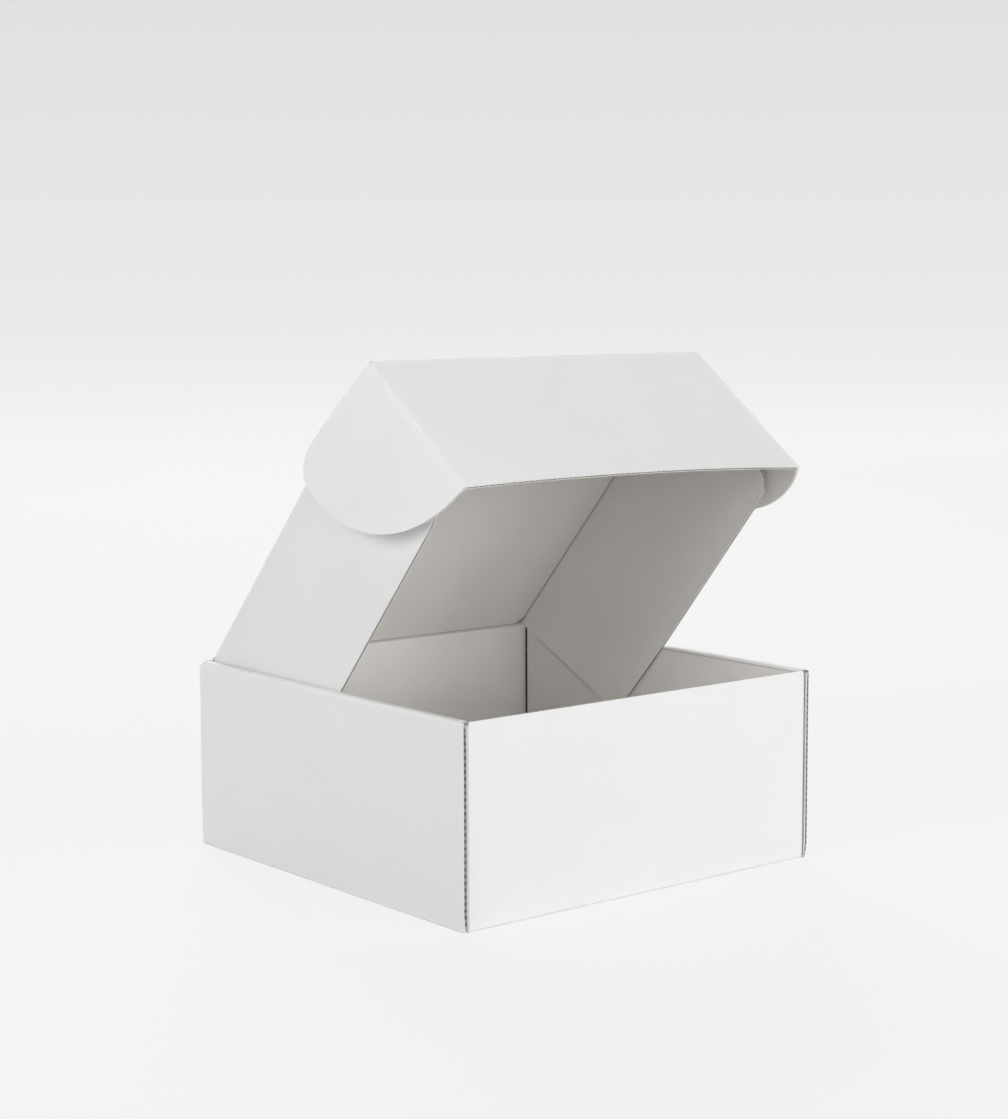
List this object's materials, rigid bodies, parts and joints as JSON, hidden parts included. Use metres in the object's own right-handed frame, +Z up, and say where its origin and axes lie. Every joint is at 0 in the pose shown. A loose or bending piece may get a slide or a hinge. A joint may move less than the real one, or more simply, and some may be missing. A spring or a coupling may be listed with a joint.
{
  "type": "corrugated mailer box",
  "caption": "Square white corrugated mailer box with rolled side walls, a hinged lid with dust flaps, and a tuck flap with rounded lock ears.",
  "frame": {"origin": "centre of the underside of the tray, on the surface it stands on", "axes": "+X to the box's right seen from the front, -Y towards the front wall, +Z up"},
  "size_m": [0.2367, 0.228, 0.2644],
  "materials": {
    "tray_board": "matte white-lined E-flute board",
    "lid_board": "matte white-lined E-flute board",
    "tuck_board": "matte white-lined E-flute board",
    "ear_board": "matte white-lined E-flute board"
  },
  "bodies": {
    "tray": {"tray": "tray_board"},
    "lid": {"lid": "lid_board"},
    "tuck_flap": {"tuck_flap": "tuck_board"},
    "left_ear": {"left_ear": "ear_board"},
    "right_ear": {"right_ear": "ear_board"}
  },
  "joints": [
    {"name": "lid_hinge", "type": "hinge", "parent": "tray", "child": "lid", "pos_m": [0, 0.11325, 0.09975], "axis": [-1, 0, 0], "range_deg": [-20, 132]},
    {"name": "tuck_flap_fold", "type": "hinge", "parent": "lid", "child": "tuck_flap", "pos_m": [0, -0.03429, 0.26361], "axis": [-1, 0, 0], "range_deg": [-8, 85]},
    {"name": "left_ear_fold", "type": "hinge", "parent": "tuck_flap", "child": "left_ear", "pos_m": [-0.10885, -0.03429, 0.26361], "axis": [0, 0.7986, 0.6018], "range_deg": [-10, 80]},
    {"name": "right_ear_fold", "type": "hinge", "parent": "tuck_flap", "child": "right_ear", "pos_m": [0.10885, -0.03429, 0.26361], "axis": [0, -0.7986, -0.6018], "range_deg": [-2, 88]}
  ]
}
